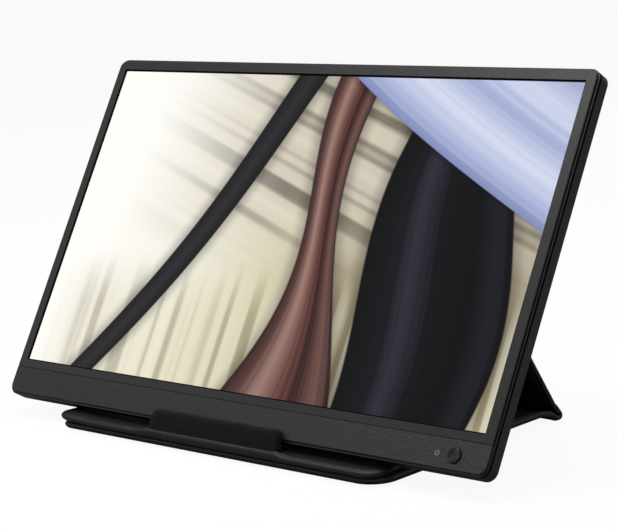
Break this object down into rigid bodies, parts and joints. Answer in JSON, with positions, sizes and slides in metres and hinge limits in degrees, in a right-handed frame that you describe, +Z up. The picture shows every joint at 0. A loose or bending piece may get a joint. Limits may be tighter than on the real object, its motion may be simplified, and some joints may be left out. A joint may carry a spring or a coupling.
{
  "type": "portable monitor with cover",
  "caption": "Slim portable monitor leaning back on its own fold-out leather-look cover, with a soft stop in front, a hinged prop leaf behind and a round power button.",
  "frame": {"origin": "on the floor, under the middle of the whole object's box", "axes": "+X to the viewer's right, +Y from the screen side towards the prop, +Z up"},
  "size_m": [0.3596, 0.1736, 0.2073],
  "materials": {
    "case_plastic": "fine spark-eroded texture, satin",
    "chin_plastic": "fine horizontal hairlines",
    "housing_plastic": "fine moulded grain",
    "screen_glass": "lit picture under a clear satin surface",
    "optical_film": "milky film",
    "clear_plastic": "clear acrylic",
    "lamp_strip": "phosphor-coated lamps",
    "sheet_metal": "zinc-plated sheet",
    "circuit_board": "green solder mask",
    "plated_metal": "nickel plated",
    "ribbon_film": "polyimide film",
    "symbol_lens": "frosted clear plastic",
    "screw_steel": "blackened steel",
    "pad_rubber": "matt rubber",
    "button_metal": "spun face, dark anodised",
    "cover_leather": "embossed imitation leather",
    "cover_lining": "fine ribbed weave",
    "fibre_board": "pressed fibre board",
    "stop_suede": "brushed microfibre",
    "stiff_plastic": "moulded",
    "magnet_metal": "nickel-plated magnet"
  },
  "bodies": {
    "base": {"base_skin": "cover_leather", "base_board": "fibre_board", "base_lining": "cover_lining", "stop_pad": "stop_suede", "stop_bar": "stiff_plastic", "rear_fold_roll": "cover_leather", "foot_crease": "cover_leather"},
    "foot": {"foot_skin": "cover_leather", "foot_board": "fibre_board", "foot_lining": "cover_lining"},
    "prop": {"prop_skin": "cover_leather", "prop_board": "fibre_board", "prop_lining": "cover_lining", "head_crease": "cover_leather"},
    "head": {"head_skin": "cover_leather", "head_board": "fibre_board", "head_lining": "cover_lining", "head_magnets": "magnet_metal"},
    "monitor": {"front_bezel": "case_plastic", "chin_plate": "chin_plastic", "rear_housing": "housing_plastic", "lcd_glass": "screen_glass", "optical_films": "optical_film", "light_guide": "clear_plastic", "led_strip": "lamp_strip", "screen_chassis": "sheet_metal", "main_board": "circuit_board", "usb_socket": "plated_metal", "display_ribbon": "ribbon_film", "button_board": "circuit_board", "dome_switch": "plated_metal", "power_symbol_lens": "symbol_lens", "housing_screws": "screw_steel", "rubber_pads": "pad_rubber", "catch_plates": "sheet_metal"},
    "button": {"power_button": "button_metal"}
  },
  "joints": [
    {"name": "prop_fold", "type": "hinge", "parent": "base", "child": "prop", "pos_m": [-0.006, 0.0838, 0.003], "axis": [-1, 0, 0], "range_deg": [0, 124.8]},
    {"name": "head_fold", "type": "hinge", "parent": "prop", "child": "head", "pos_m": [-0.006, 0.00059, 0.11979], "axis": [-1, 0, 0], "range_deg": [0, 60]},
    {"name": "foot_fold", "type": "hinge", "parent": "base", "child": "foot", "pos_m": [-0.006, 0.0173, 0.0021], "axis": [1, 0, 0], "range_deg": [0, 150]},
    {"name": "monitor_lift", "type": "slide", "parent": "base", "child": "monitor", "axis": [0, 0.5, 0.866], "range_m": [0, 0.06]},
    {"name": "button_press", "type": "slide", "parent": "monitor", "child": "button", "axis": [0, 0.866, -0.5], "range_m": [0, 0.0005], "stiffness_N_per_m": 2500}
  ]
}
